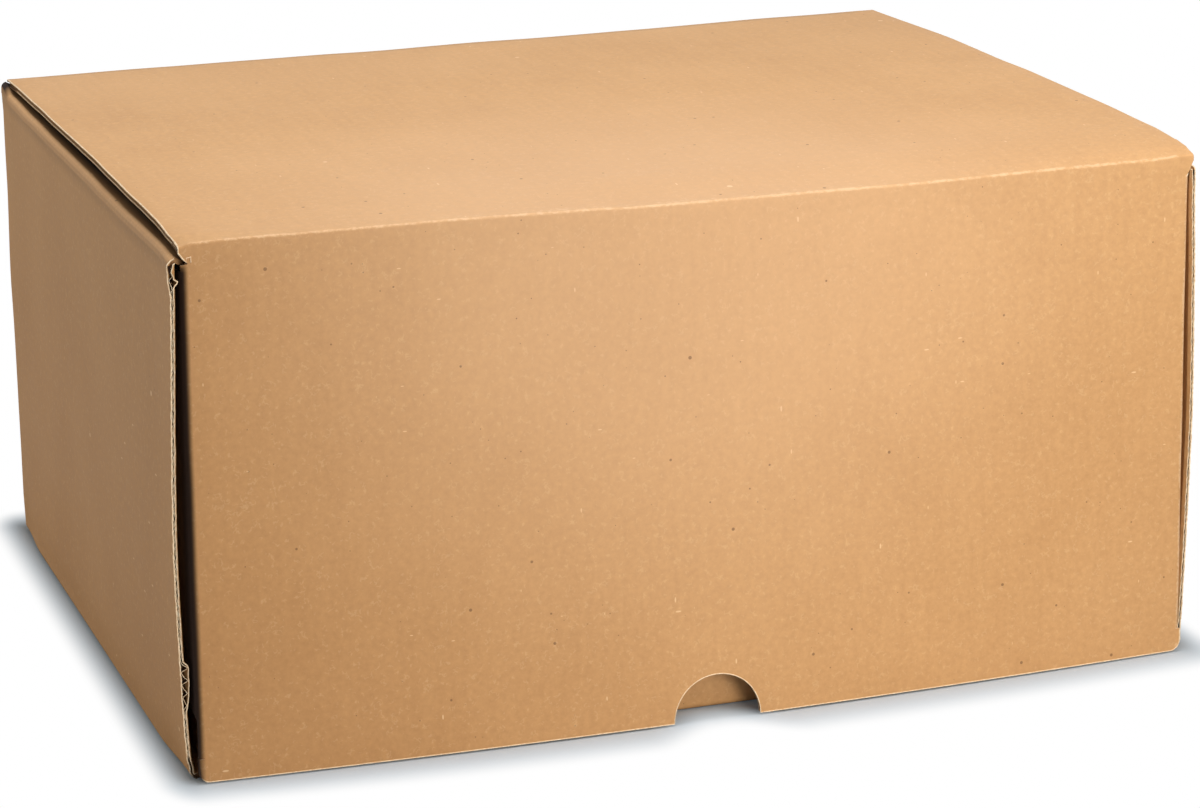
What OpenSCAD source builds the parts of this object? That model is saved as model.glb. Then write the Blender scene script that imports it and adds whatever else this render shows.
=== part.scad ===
/* [Box] */
// Width over the two side walls where they bow out most
box_w = 408; // [330:1:520]
// Depth from the back wall's face to the face of the front flap's crease
box_d = 317; // [240:1:420]
// Height from the floor to the top of the lid at its front crease
box_h = 203; // [140:1:280]

/* [Board] */
// Thickness of the corrugated board
board_t = 2.2; // [1.8:0.1:3]
// Thickness of the flat paper on each face of the board
liner_t = 0.4; // [0.3:0.05:0.5]
// Thickness of the fluted paper between the faces
medium_t = 0.35; // [0.25:0.05:0.5]
// Distance from one flute to the next
flute_pitch = 4.9; // [4:0.1:7]
// How far the open flutes reach in from a cut edge
flute_depth = 6; // [3:0.5:10]
// Radius at the middle of the board where it is folded
fold_r = 1.5; // [1.4:0.1:2.5]

/* [Side walls] */
// Drop from the lid's top at the front down to the top of the side walls
side_drop = 5.8; // [5:0.2:9]
// How far each outer side panel bows out between floor and top
side_bow = 1.8; // [0.5:0.1:3]
// Distance the side walls' front cut edges stand behind the flap's face
side_setback = 3; // [2.6:0.1:6]
// Distance the side walls' rear cut edges stand in from the back wall's face
rear_setback = 3; // [1:0.1:6]
// Room between an outer side panel and the flap's tucked ear
ear_slack = 1.6; // [0.6:0.1:4]
// Room between neighbouring layers inside a side wall
layer_gap = 0.5; // [0.3:0.1:1]
// Length of each locking tab under the inner side panels
tab_len = 52; // [30:1:70]
// Distance from the middle of the box to each locking tab
tab_place = 80; // [60:1:95]
// Room round a tab in its slot in the bottom
tab_gap = 0.4; // [0.3:0.1:1]

/* [Front and back walls] */
// Room between the front wall and the inside of the flap at the crease
front_gap = 1.2; // [0.8:0.1:3]
// Length of the ears that fold back from the front and back walls
wall_ear_len = 96; // [60:1:110]

/* [Lid] */
// How far the lid's side edges stand in from the side walls' top edges
lid_inset = 2.4; // [2:0.1:5]
// How much lower the lid's back crease is than its front crease
lid_fall = 1.8; // [0:0.1:3]
// How far the lid arches up between its two creases
lid_arch = 2; // [0.5:0.1:4]
// Depth of the open slit along the lid's side edges
slit_depth = 2; // [1:0.5:4]

/* [Front flap] */
// How far the flap's lower corners lean out from upright
flap_lean = 4; // [0:0.5:8]
// How far the middle of the flap's lower edge bows out past its corners
flap_bow = 8; // [2:0.5:12]
// Room between the flap's lower edge and the floor
floor_gap = 0.6; // [0.4:0.1:3]
// Room between the flap's upper end and the rounded crease
crease_gap = 0.15; // [0.1:0.05:0.3]
// Radius of the flap's lower corners
corner_r = 5; // [2:0.5:10]
// Radius of the half-round thumb notch
notch_r = 17.5; // [12:0.5:25]

/* [Flap ears] */
// Length of the flap's ears from front to back
ear_len = 62; // [40:1:80]
// Distance from the crease down to the ears
ear_top = 9; // [8:0.5:16]
// Distance from the flap's lower edge up to the ears
ear_foot = 9; // [7:0.5:20]
// How much the ears narrow towards their ends, at the top
ear_taper = 8; // [4:1:20]
// How much the ears narrow towards their ends, at the foot
ear_foot_taper = 26; // [22:1:50]
// Radius of the ears' rear corners
ear_corner_r = 10; // [4:1:14]

/* [Hidden] */
$fn = 64;
kraft = [0.80, 0.61, 0.41];
kraft_inside = [0.74, 0.56, 0.37];
half_t = board_t / 2;
// Slack that makes cutters pass clear of the faces they cut
past = 1;
// Largest distance between a fold's true arc and its drawn steps
arc_tol = 0.01;

// Front to back: faces and board middles, measured from the centre of the bottom
front_face = -box_d / 2;
back_mid = box_d / 2 - half_t;
wall_mid = front_face + board_t + front_gap + half_t;
side_y0 = front_face + side_setback;
side_y1 = box_d / 2 - rear_setback;
inner_y0 = wall_mid + half_t + layer_gap;
inner_y1 = back_mid - half_t - layer_gap;

// Left to right, from the outside inwards
side_mid = box_w / 2 - side_bow - half_t;
flap_side = side_mid - half_t - ear_slack;
flap_ear_mid = flap_side - half_t;
wall_ear_mid = flap_ear_mid - board_t - layer_gap;
inner_mid = wall_ear_mid - board_t - layer_gap;
wall_half_w = wall_ear_mid - fold_r;
lid_half_w = side_mid + half_t - lid_inset;

// Heights
side_top = box_h - side_drop;
fold_z = half_t + fold_r;
wall_top = side_top - layer_gap;
wall_ear_top = side_top - board_t - layer_gap;
lid_back_z = box_h - lid_fall - half_t;

// The crease that the flap turns on
crease = [front_face + half_t, box_h - half_t];
lean = atan(flap_lean / box_h);
flap_len = (crease[1] - floor_gap) / cos(lean);

// Points of an arc, with more of them where it is wider
function arc(c, r, a0, a1) =
    let (n = max(2, ceil(abs(a1 - a0) / 2 / acos(1 - arc_tol / r))))
    [for (i = [0:n]) let (a = a0 + (a1 - a0) * i / n) c + r * [cos(a), sin(a)]];

// The shallow arc from one point to another that bulges by a given rise to its right
function bowed(p, q, rise) =
    let (chord = norm(q - p), half = 2 * atan(2 * rise / chord), r = chord / 2 / sin(half),
         d = (q - p) / chord, c = (p + q) / 2 + [-d[1], d[0]] * r * cos(half),
         a = atan2(p[1] - c[1], p[0] - c[0]))
    arc(c, r, a, a + 2 * half);

// Direction square to a path at one of its points, lengthened at its corners
function square_to(path, i) =
    let (n = len(path) - 1, a = path[max(i, 1)] - path[max(i, 1) - 1],
         b = path[min(i, n - 1) + 1] - path[min(i, n - 1)],
         u = [-a[1], a[0]] / norm(a), v = [-b[1], b[0]] / norm(b))
    (u + v) / (1 + u * v);

// A sheet of a given thickness seen from its edge, with a path along its middle
module sheet(path, thick = board_t) {
    side = [for (i = [0:len(path) - 1]) square_to(path, i) * thick / 2];
    polygon(concat([for (i = [0:len(path) - 1]) path[i] + side[i]],
                   [for (i = [len(path) - 1:-1:0]) path[i] - side[i]]));
}

// Stands a profile drawn over x and z up, and carries it from y0 to y1
module along_y(y0, y1) {
    translate([0, y1, 0]) rotate([90, 0, 0]) linear_extrude(y1 - y0) children();
}

// Stands a profile drawn over y and z up, and carries it from x0 to x1
module along_x(x0, x1) {
    translate([x0, 0, 0]) rotate([90, 0, 90]) linear_extrude(x1 - x0) children();
}

module both_sides() {
    children();
    mirror([1, 0, 0]) children();
}

// The middle of an outer side panel, bowed between its two folds
side_dip = 2 * atan(2 * side_bow / (side_top - 2 * fold_z));
side_low = [side_mid, fold_z - fold_r * sin(side_dip)];
side_high = [side_mid, side_top - fold_z + fold_r * sin(side_dip)];
side_fold_x = side_mid - fold_r * cos(side_dip);
side_bulge = bowed(side_low, side_high, side_bow);

// Bottom edge, outer panel, roll-over and inner panel of one side wall
function side_path() = concat(
    [[side_fold_x - board_t, half_t]],
    arc([side_fold_x, fold_z], fold_r, -90, -side_dip),
    side_bulge,
    arc([side_fold_x, side_top - fold_z], fold_r, side_dip, 90),
    arc([inner_mid + fold_r, side_top - fold_z], fold_r, 90, 180),
    [[inner_mid, board_t + layer_gap]]);

// Front wall, bottom and back wall, up to the lid
lid_lift = 2 * atan(2 * lid_arch / box_d) + atan(lid_fall / box_d);
back_fold = arc([back_mid - fold_r, lid_back_z - fold_r], fold_r, 0, 90 - lid_lift);
lid_start = back_fold[len(back_fold) - 1];
function tray_path() = concat(
    [[wall_mid, wall_top]],
    arc([wall_mid + fold_r, fold_z], fold_r, 180, 270),
    arc([back_mid - fold_r, fold_z], fold_r, 270, 360),
    back_fold);
lid_path = bowed(lid_start, crease, lid_arch);

// Front or back wall's ear and the fold that it turns on, seen from above
function wall_ear_path(wall, into) =
    let (c = [wall_half_w, wall + into * fold_r])
    concat([[wall_half_w - fold_r, wall]],
           arc(c, fold_r, -90 * into, 0),
           [[wall_ear_mid, wall + into * wall_ear_len]]);

// One open flute: the hollow on one side of the fluted paper, across the board
flute_half_h = half_t - liner_t;
flute_tip = medium_t;
flute_base = flute_pitch / 2 - medium_t - flute_tip;
module flute_hollow(up) {
    polygon([[-flute_base, -up * flute_half_h], [flute_base, -up * flute_half_h],
             [flute_tip, up * flute_half_h], [-flute_tip, up * flute_half_h]]);
}

// The row of flutes that a side panel's cut edge shows, set along its bow
side_r = norm(side_high - side_low) / 2 / sin(side_dip);
side_centre = (side_low + side_high) / 2 - [side_r * cos(side_dip), 0];
flute_turn = flute_pitch / 2 / side_r * 180 / PI;
side_flutes = floor(side_dip / flute_turn) - 1;
module side_flute_row() {
    for (k = [-side_flutes:side_flutes])
        translate(side_centre) rotate(k * flute_turn) translate([side_r, 0]) rotate(90)
            flute_hollow(k % 2 == 0 ? 1 : -1);
}

module side_wall() {
    difference() {
        union() {
            along_y(side_y0, side_y1) sheet(side_path());
            for (s = [-1, 1]) locking_tab(s);
        }
        // The roll-over and inner panel stop short of the front and back walls
        for (end = [[side_y0 - past, inner_y0], [inner_y1, side_y1 + past]])
            translate([inner_mid - board_t, end[0], board_t + layer_gap / 2])
                cube([wall_ear_mid + board_t + layer_gap / 2 - inner_mid + half_t,
                      end[1] - end[0], box_h]);
        along_y(side_y0 - past, side_y0 + flute_depth) side_flute_row();
        along_y(side_y1 - flute_depth, side_y1 + past) side_flute_row();
    }
}

// Tab on the foot of an inner side panel, held in a slot of the bottom
module locking_tab(s) {
    translate([inner_mid - half_t, s * tab_place - tab_len / 2, liner_t])
        cube([board_t, tab_len, board_t + layer_gap]);
}

module tab_slot(s) {
    translate([inner_mid - half_t - tab_gap, s * tab_place - tab_len / 2 - tab_gap, -past])
        cube([board_t + 2 * tab_gap, tab_len + 2 * tab_gap, board_t + 2 * past]);
}

module bottom_panel() {
    y0 = wall_mid + fold_r + board_t;
    y1 = back_mid - fold_r - board_t;
    translate([-side_fold_x, y0, 0]) cube([2 * side_fold_x, y1 - y0, board_t]);
}

module wall_ears() {
    for (w = [[wall_mid, 1], [back_mid, -1]])
        translate([0, 0, fold_z + half_t])
            linear_extrude(wall_ear_top - fold_z - half_t)
                sheet(wall_ear_path(w[0], w[1]));
}

module lid() {
    difference() {
        along_x(-lid_half_w, lid_half_w) sheet(lid_path);
        for (x = [-lid_half_w - past, lid_half_w - slit_depth])
            along_x(x, x + slit_depth + past) sheet(lid_path, board_t - 2 * liner_t);
    }
    translate([-lid_half_w, crease[0], crease[1]])
        rotate([0, 90, 0]) cylinder(h = 2 * lid_half_w, r = half_t);
}

module folded_box() {
    color(kraft_inside) difference() {
        union() {
            bottom_panel();
            both_sides() side_wall();
        }
        both_sides() for (s = [-1, 1]) difference() {
            tab_slot(s);
            locking_tab(s);
        }
    }
    color(kraft) {
        along_x(-wall_half_w, wall_half_w) sheet(tray_path());
        both_sides() wall_ears();
        lid();
    }
}

// How far the flap's board stands out of its flat plane
flap_half_w = flap_side - half_t - fold_r;
function flap_out(x, down) = flap_bow * (1 - pow(min(abs(x) / flap_half_w, 1), 2)) * down / flap_len;

// The flap's board before its outline is cut: straight at the crease, bowed at the foot
bow_steps = 40;
module bowed_board() {
    xs = [for (i = [0:bow_steps]) (2 * i / bow_steps - 1) * flap_half_w];
    all_x = concat([-lid_half_w - past], xs, [lid_half_w + past]);
    n = len(all_x);
    function row(down, y) = [for (x = all_x) [x, y - flap_out(x, down), -down]];
    low = flap_len + past;
    pts = concat(row(0, half_t), row(low, half_t), row(0, -half_t), row(low, -half_t));
    quads = [for (i = [0:n - 2]) each [
        [i, i + 1, n + i + 1, n + i], [3 * n + i, 3 * n + i + 1, 2 * n + i + 1, 2 * n + i],
        [2 * n + i, 2 * n + i + 1, i + 1, i], [n + i, n + i + 1, 3 * n + i + 1, 3 * n + i]]];
    ends = [[0, n, 3 * n, 2 * n], [n - 1, 3 * n - 1, 4 * n - 1, 2 * n - 1]];
    faces = concat(quads, [ends[0], [ends[1][0], ends[1][3], ends[1][2], ends[1][1]]]);
    polyhedron(points = pts, faces = [for (f = faces) each [[f[0], f[1], f[2]], [f[0], f[2], f[3]]]]);
}

// Right half of the flap's outline, from the crease down to its lower edge
function flap_outline() = concat(
    [[0, 0], [lid_half_w, 0], [lid_half_w, -half_t], [flap_half_w, -ear_top],
     [flap_half_w, -flap_len + ear_foot], [flap_side, -flap_len + ear_foot]],
    arc([flap_side - corner_r, -flap_len + corner_r], corner_r, 0, -90),
    [[0, -flap_len]]);

// The side flap folded back from the flap's edge, with its fold
function ear_outline() =
    let (top = -ear_top - ear_taper, foot = -flap_len + ear_foot + ear_foot_taper)
    concat([[fold_r, -flap_len + ear_foot], [half_t + fold_r, -flap_len + ear_foot]],
           arc([ear_len - ear_corner_r, foot + ear_corner_r], ear_corner_r, -90, 0),
           arc([ear_len - ear_corner_r, top - ear_corner_r], ear_corner_r, 0, 90),
           [[half_t + fold_r, -ear_top], [fold_r, -ear_top]]);

module flap_ear() {
    translate([0, 0, -flap_len + ear_foot]) linear_extrude(flap_len - ear_top - ear_foot)
        sheet(arc([flap_half_w, fold_r], fold_r, -90, 0));
    along_x(flap_side - board_t, flap_side) polygon(ear_outline());
}

// Flutes open at the flap's lower edge and round the thumb notch
module flap_flutes() {
    step = flute_pitch / 2;
    count = floor((flap_side - corner_r) / step);
    for (k = [-count:count]) {
        x = k * step;
        out = flap_out(x, flap_len);
        high = flute_depth + (abs(x) < notch_r ? sqrt(notch_r * notch_r - x * x) : 0);
        translate([x, -out, -flap_len])
            rotate([-atan(out / flap_len), 0, atan(2 * flap_bow * x / pow(flap_half_w, 2))])
                translate([0, 0, -past]) linear_extrude(high + past)
                    flute_hollow(k % 2 == 0 ? 1 : -1);
    }
}

module front_flap() {
    color(kraft) translate([0, crease[0], crease[1]]) rotate([-lean, 0, 0]) difference() {
        union() {
            intersection() {
                bowed_board();
                translate([0, 2 * flap_bow, 0]) rotate([90, 0, 0]) linear_extrude(4 * flap_bow)
                    both_sides() polygon(flap_outline());
            }
            both_sides() flap_ear();
        }
        translate([-lid_half_w - past, 0, 0]) rotate([0, 90, 0])
            cylinder(h = 2 * (lid_half_w + past), r = half_t + crease_gap);
        // The inner half of the board stops under the lid, so that the corner can close
        translate([-lid_half_w - past, 0, -half_t - 2 * crease_gap])
            cube([2 * (lid_half_w + past), board_t, board_t]);
        translate([0, 2 * flap_bow, -flap_len]) rotate([90, 0, 0])
            cylinder(h = 4 * flap_bow, r = notch_r);
        flap_flutes();
    }
}

folded_box();
front_flap();
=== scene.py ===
# %% [markdown]
# # A closed cardboard box
# The real box is folded from one sheet of corrugated board: two flat papers, the liners, with a
# fluted paper between them. The CAD part already has its walls, folds and open flutes, so this
# lesson adds what makes it look like board: soft unevenness, worn folds, crushed edges and paper.

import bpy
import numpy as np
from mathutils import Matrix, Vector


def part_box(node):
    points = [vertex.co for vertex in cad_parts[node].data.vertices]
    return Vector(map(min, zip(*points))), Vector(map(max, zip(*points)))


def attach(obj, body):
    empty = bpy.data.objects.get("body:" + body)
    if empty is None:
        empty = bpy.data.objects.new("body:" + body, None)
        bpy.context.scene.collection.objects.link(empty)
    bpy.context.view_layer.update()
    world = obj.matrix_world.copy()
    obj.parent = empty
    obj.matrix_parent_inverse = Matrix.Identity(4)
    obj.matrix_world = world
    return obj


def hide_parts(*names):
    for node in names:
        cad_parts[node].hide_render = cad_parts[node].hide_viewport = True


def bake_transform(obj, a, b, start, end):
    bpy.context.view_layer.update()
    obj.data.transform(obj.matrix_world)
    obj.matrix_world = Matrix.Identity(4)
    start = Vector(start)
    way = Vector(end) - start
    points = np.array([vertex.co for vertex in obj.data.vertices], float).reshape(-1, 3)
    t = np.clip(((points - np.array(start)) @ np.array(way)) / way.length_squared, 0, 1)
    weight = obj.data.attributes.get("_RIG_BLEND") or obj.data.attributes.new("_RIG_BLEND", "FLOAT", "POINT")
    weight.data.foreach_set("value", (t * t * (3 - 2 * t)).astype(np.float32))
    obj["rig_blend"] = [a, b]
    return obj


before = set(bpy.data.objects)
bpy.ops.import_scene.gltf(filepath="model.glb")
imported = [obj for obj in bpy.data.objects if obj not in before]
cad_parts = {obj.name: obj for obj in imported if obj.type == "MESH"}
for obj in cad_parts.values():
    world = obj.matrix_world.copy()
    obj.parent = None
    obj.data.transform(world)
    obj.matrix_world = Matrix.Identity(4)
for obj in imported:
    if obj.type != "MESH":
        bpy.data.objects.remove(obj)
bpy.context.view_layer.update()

# %% [markdown]
# ## Sizes
# All lengths are in metres, and most of them are those of the CAD part. The board is 2.2 mm thick,
# and one wave of its flutes is 4.9 mm long. SIDE_Y0 and SIDE_Y1 are the cut edges of the side walls
# in front and behind, and a side wall bows out between FOOT and SHOULDER. SPACING is the size of
# the squares that large faces are cut into, and NEAR is close enough to count as the same place.

# %% Tools and sizes
import math

import bmesh
import bpy
from mathutils import Matrix, Vector

MM = 0.001
BOARD = 2.2 * MM
LINER = 0.4 * MM
FLUTE = 4.9 * MM
FLUTE_DEPTH = 6 * MM
CREASE_Y, CREASE_Z = -157.4 * MM, 201.9 * MM
LID_HALF, LID_FLOOR = 199.8 * MM, 198.4 * MM
FLAP_SIDE = 198.4 * MM
SIDE_Y0, SIDE_Y1 = -155.5 * MM, 155.5 * MM
SIDE_MID, SIDE_BOW = 201.1 * MM, 1.8 * MM
FOLD = 1.5 * MM
FOOT, SHOULDER = 2.6 * MM, 194.6 * MM
SPACING = 8 * MM
NEAR = 0.05 * MM


def in_mm(lengths):
    return [round(length / MM, 2) for length in lengths]


print("board", in_mm([BOARD]), "crease at", in_mm([CREASE_Y, CREASE_Z]))

# %% [markdown]
# ## The camera
# The photograph was taken from the front left and a little above, with a long lens, so that the
# box's edges stay almost parallel. The angles were found by fitting the corners of the solids to
# the corners in the photograph.

# %% Set the camera
def turned(yaw, pitch, roll):
    """Camera turned from looking along +Y: right by yaw, up by pitch, then rolled."""
    ahead = Vector((math.sin(yaw) * math.cos(pitch), math.cos(yaw) * math.cos(pitch),
                    math.sin(pitch)))
    right = ahead.cross(Vector((0, 0, 1))).normalized()
    up = right.cross(ahead)
    rolled_right = right * math.cos(roll) + up * math.sin(roll)
    rolled_up = up * math.cos(roll) - right * math.sin(roll)
    return Matrix((rolled_right, rolled_up, -ahead)).transposed().to_4x4()


lens = bpy.data.cameras.new("camera")
lens.lens = 116.76
lens.sensor_width = 36
camera = bpy.data.objects.new("camera", lens)
bpy.context.scene.collection.objects.link(camera)
camera.matrix_world = Matrix.Translation((-0.4916, -1.4646, 0.5383)) @ turned(
    math.radians(18.97), math.radians(-16.57), math.radians(-0.64))
bpy.context.scene.camera = camera
print("camera at", [round(v, 3) for v in camera.location])

# %% [markdown]
# ## Light
# The box stands in a white room. The camera sees it as pure white, while a dimmer room lights the
# box. A soft lamp above lights the lid, and leaves a soft shadow on the floor in front. Two lower
# lamps in front light the flap, and one far behind at the left lights the left wall.

# %% Room and lamps
ROOM, WHITE = (0.19, 0.183, 0.171, 1), (1, 1, 1, 1)
world = bpy.data.worlds.new("white_room")
world.use_nodes = True
bpy.context.scene.world = world
sky = world.node_tree
ray = sky.nodes.new("ShaderNodeLightPath")
seen = ray.outputs["Is Camera Ray"]
for kind in ("Is Glossy Ray", "Is Transmission Ray"):
    either = sky.nodes.new("ShaderNodeMath")
    either.operation = "MAXIMUM"
    sky.links.new(seen, either.inputs[0])
    sky.links.new(ray.outputs[kind], either.inputs[1])
    seen = either.outputs[0]
tint = sky.nodes.new("ShaderNodeMix")
tint.data_type = "RGBA"
tint.inputs[6].default_value = ROOM
tint.inputs[7].default_value = WHITE
sky.links.new(seen, tint.inputs[0])
sky.links.new(tint.outputs[2], sky.nodes["Background"].inputs["Color"])


def soft_lamp(name, place, aim, width, power, colour):
    """A square lamp that faces a point."""
    lamp = bpy.data.lights.new(name, "AREA")
    lamp.shape = "SQUARE"
    lamp.size, lamp.energy, lamp.color = width, power, colour
    holder = bpy.data.objects.new(name, lamp)
    bpy.context.scene.collection.objects.link(holder)
    holder.location = place
    holder.rotation_euler = (Vector(aim) - Vector(place)).to_track_quat("-Z", "Y").to_euler()


WARM = (1, 0.935, 0.84)
soft_lamp("key", (0.03, -0.16, 1.4), (0, 0, 0.2), 0.45, 12.2, (0.97, 0.99, 1.02))
soft_lamp("front", (0.16, -0.9, 0.22), (0, -0.16, 0.1), 0.3, 3.3, WARM)
soft_lamp("near", (0.34, -0.62, 0.55), (0.1, -0.16, 0.15), 0.3, 1.5, WARM)
soft_lamp("left", (-2.0, 1.4, 0.6), (-0.2, 0, 0.1), 0.8, 16.6, (1, 0.945, 0.82))
bpy.context.scene.view_settings.view_transform = "Standard"

# %% [markdown]
# ## Shader maths
# A material is a recipe of nodes. The small class below wraps one output of a node, so that sums
# and products can be written as plain Python and the Math nodes appear by themselves.

# %% Wires and finishes
class Wire:
    """One value in a material. Arithmetic on it adds Math nodes."""

    def __init__(self, finish, socket):
        self.finish, self.socket = finish, socket

    def maths(self, operation, *values):
        return self.finish.node("Math", {"operation": operation}, dict(enumerate(values)))

    def __add__(self, other): return self.maths("ADD", self, other)
    def __radd__(self, other): return self.maths("ADD", other, self)
    def __sub__(self, other): return self.maths("SUBTRACT", self, other)
    def __rsub__(self, other): return self.maths("SUBTRACT", other, self)
    def __mul__(self, other): return self.maths("MULTIPLY", self, other)
    def __rmul__(self, other): return self.maths("MULTIPLY", other, self)
    def __truediv__(self, other): return self.maths("DIVIDE", self, other)
    def __rtruediv__(self, other): return self.maths("DIVIDE", other, self)
    def __abs__(self): return self.maths("ABSOLUTE", self)
    def at_least(self, low): return self.maths("MAXIMUM", self, low)
    def at_most(self, high): return self.maths("MINIMUM", self, high)
    def sine(self): return self.maths("SINE", self)
    def root(self): return self.maths("SQRT", self)

    def between(self, low, high):
        """0 below low and 1 above high, with a smooth step between them."""
        return self.finish.node("MapRange", {"interpolation_type": "SMOOTHSTEP"},
                                {"Value": self, "From Min": low, "From Max": high})


class Finish:
    """A material in the making, with one method that adds any node."""

    def __init__(self, name):
        self.material = bpy.data.materials.new(name)
        self.material.use_nodes = True
        self.tree = self.material.node_tree
        self.shader = self.tree.nodes["Principled BSDF"]

    def node(self, kind, settings=None, inputs=None, output=0):
        made = self.tree.nodes.new("ShaderNode" + kind)
        for setting, value in (settings or {}).items():
            setattr(made, setting, value)
        for socket, value in (inputs or {}).items():
            self.feed(made.inputs[socket], value)
        return Wire(self, made.outputs[output])

    def feed(self, socket, value):
        if isinstance(value, Wire):
            self.tree.links.new(value.socket, socket)
        else:
            socket.default_value = value

    def noise(self, place, scale, detail=2, rough=0.5):
        return self.node("TexNoise", None, {"Vector": place, "Scale": scale, "Detail": detail,
                                            "Roughness": rough})

    def stretched(self, place, along):
        return self.node("VectorMath", {"operation": "MULTIPLY"}, {0: place, 1: along})

    def parts(self, vector):
        """The X, Y and Z of a vector, as three wires."""
        split = self.node("SeparateXYZ", None, {0: vector}).socket.node
        return [Wire(self, socket) for socket in split.outputs]

    def mix(self, share, first, second):
        """A colour between two others."""
        return self.node("Mix", {"data_type": "RGBA"}, {0: share, 6: first, 7: second}, output=2)

    def dye(self, share, first, second):
        """A colour darkened by another, as a wash of ink darkens paper."""
        settings = {"data_type": "RGBA", "blend_type": "MULTIPLY"}
        return self.node("Mix", settings, {0: share, 6: first, 7: second}, output=2)

    def surface(self, colour, roughness, specular):
        """Sets how the surface takes the light. Each value is a wire or a constant."""
        for name, value in (("Base Color", colour), ("Roughness", roughness),
                            ("Specular IOR Level", specular)):
            self.feed(self.shader.inputs[name], value)

    def relief(self, height, depth):
        """Makes the surface look uneven by a depth, where the height wire goes from 0 to 1."""
        self.feed(self.shader.inputs["Normal"], self.node(
            "Bump", None, {"Strength": 1.0, "Distance": depth, "Height": height}))


print("shader tools ready")

# %% [markdown]
# ## Kraft paper
# Brown kraft paper is never one colour. It is cloudy from the way the pulp settles, it has dark
# specks and pale fibres, and the flutes behind it show through as a faint washboard. Each of
# these is one layer of the recipe below. The photographed box is also darker towards its left and
# its foot, which is painted shade, and paler round the middle of its crease, which is a painted
# sheen. It is paler on its folds, where the paper is rubbed, and on the lit side of the flap's right
# fold, which is a painted highlight. Its darkest slots are painted shade, read from a mark.

# %% Kraft paper
KRAFT_DARK = (0.48, 0.248, 0.094, 1)
KRAFT_LIGHT = (0.72, 0.42, 0.192, 1)
SPECK = (0.17, 0.075, 0.03, 1)
FIBRE = (0.90, 0.66, 0.40, 1)
RUBBED_AND_HIGHLIGHT = (0.85, 0.6, 0.37, 1)
PAINTED_SHEEN = (0.75, 0.48, 0.29, 1)
PAINTED_SHADE = (0.014, 0.005, 0.003, 1)
PAINTED_SHADE_LEFT = (0.84, 0.795, 0.73, 1)
PAINTED_SHADE_LOW = (0.945, 0.92, 0.88, 1)
SHEEN_CENTRE = (-0.01, -0.157, 0.21)


def specks(finish, place, spacing, size, share):
    """Small spots: one in each cell of a Voronoi pattern, in a share of the cells only."""
    cells = {"Vector": place, "Scale": 1 / spacing}
    far = finish.node("TexVoronoi", None, cells, output="Distance")
    lot = finish.node("SeparateColor", None,
                      {0: finish.node("TexVoronoi", None, cells, output="Color")})
    reach = (lot - (1 - share)) * (size / spacing / share)
    return (reach - far).between(0, 0.25 * size / spacing)


def marked(finish, name):
    """What was stored under a name for each point of a piece, and 0 where nothing was."""
    return finish.node("Attribute", {"attribute_name": name}, output="Fac")


def kraft_paper(name):
    finish = Finish(name)
    place = finish.node("TexCoord", output="Object")
    to_side, _, upward = finish.parts(finish.node("TexCoord", output="Normal"))
    on_side, on_top = abs(to_side).between(0.6, 0.8), abs(upward).between(0.6, 0.8)
    x, _, z = finish.parts(place)

    cloud = finish.noise(place, 14, 3, 0.55)
    mottle = finish.noise(place, 430, 3, 0.65)
    front_grain = finish.noise(finish.stretched(place, (1, 0.1, 0.1)), 240, 2)
    grain = (front_grain - 0.5) * (1 - on_side)
    across = x + on_side * (z - x)
    wave = (across * (2 * math.pi / FLUTE)).sine()

    # Painted shade: the walls and flap are darker towards the left, where less light falls.
    shade_to_left = (1 - x.between(-0.24, 0.02)) * (1 - on_top)
    # Painted shade: the walls and flap are darker towards their foot.
    handled = (1 - z.between(0.06, 0.2)) * (1 - on_top)
    tone = 0.5 + (cloud - 0.5) * 0.5 + (mottle - 0.5) * 0.75 + grain * 0.2 + wave * 0.01
    colour = finish.mix(tone.at_least(0).at_most(1), KRAFT_DARK, KRAFT_LIGHT)
    colour = finish.dye(shade_to_left, colour, PAINTED_SHADE_LEFT)
    colour = finish.dye(handled, colour, PAINTED_SHADE_LOW)
    # Painted sheen: the paper is paler round the middle of the crease, as a whitish gloss.
    from_middle = finish.node("VectorMath", {"operation": "DISTANCE"}, {0: place, 1: SHEEN_CENTRE},
                              output="Value")
    colour = finish.mix((1 - from_middle.between(0.04, 0.22)) * 0.35, colour, PAINTED_SHEEN)
    large = specks(finish, place, 8 * MM, 0.8 * MM, 0.4)
    small = specks(finish, place, 3 * MM, 0.35 * MM, 0.25)
    colour = finish.mix((large + small) * 0.7, colour, SPECK)
    upright = specks(finish, finish.stretched(place, (1, 0.3, 0.3)), 4 * MM, 0.42 * MM, 0.3)
    level = specks(finish, finish.stretched(place, (0.3, 0.3, 1)), 4.4 * MM, 0.42 * MM, 0.3)
    colour = finish.mix((upright + level) * 0.55, colour, FIBRE)
    curl = abs(finish.noise(place, 560, 1) - 0.5)
    hairs = (1 - curl.between(0, 0.09)) * finish.noise(place, 420, 1).between(0.54, 0.66)
    colour = finish.mix(hairs * 0.14, colour, FIBRE)

    broken = finish.noise(finish.stretched(place, (0.6, 1, 1)), 800, 3, 0.65)
    patches = finish.noise(place, 45, 2)
    # The worn mark is rubbed paper on the crease, and a painted highlight on the flap's right fold.
    rubbed, deep = marked(finish, "worn"), marked(finish, "deep")
    worn = (rubbed + (patches - 0.5) * 1.6 - (broken - 0.42) * 3.6).between(0.0, 1.0)
    colour = finish.mix(worn * rubbed.between(0.0, 0.6) * 0.45, colour, RUBBED_AND_HIGHLIGHT)
    # Painted shade: the deep mark darkens the paper almost to black.
    colour = finish.mix(deep, colour, PAINTED_SHADE)

    finish.surface(colour, 0.62 + (mottle - 0.5) * 0.25 + deep * 0.35, 0.35)
    finish.relief((mottle - 0.5) * 0.35 + wave * 0.07
                  + (finish.noise(place, 900, 2) - 0.5) * 0.35, 0.03 * MM)
    return finish.material


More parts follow.
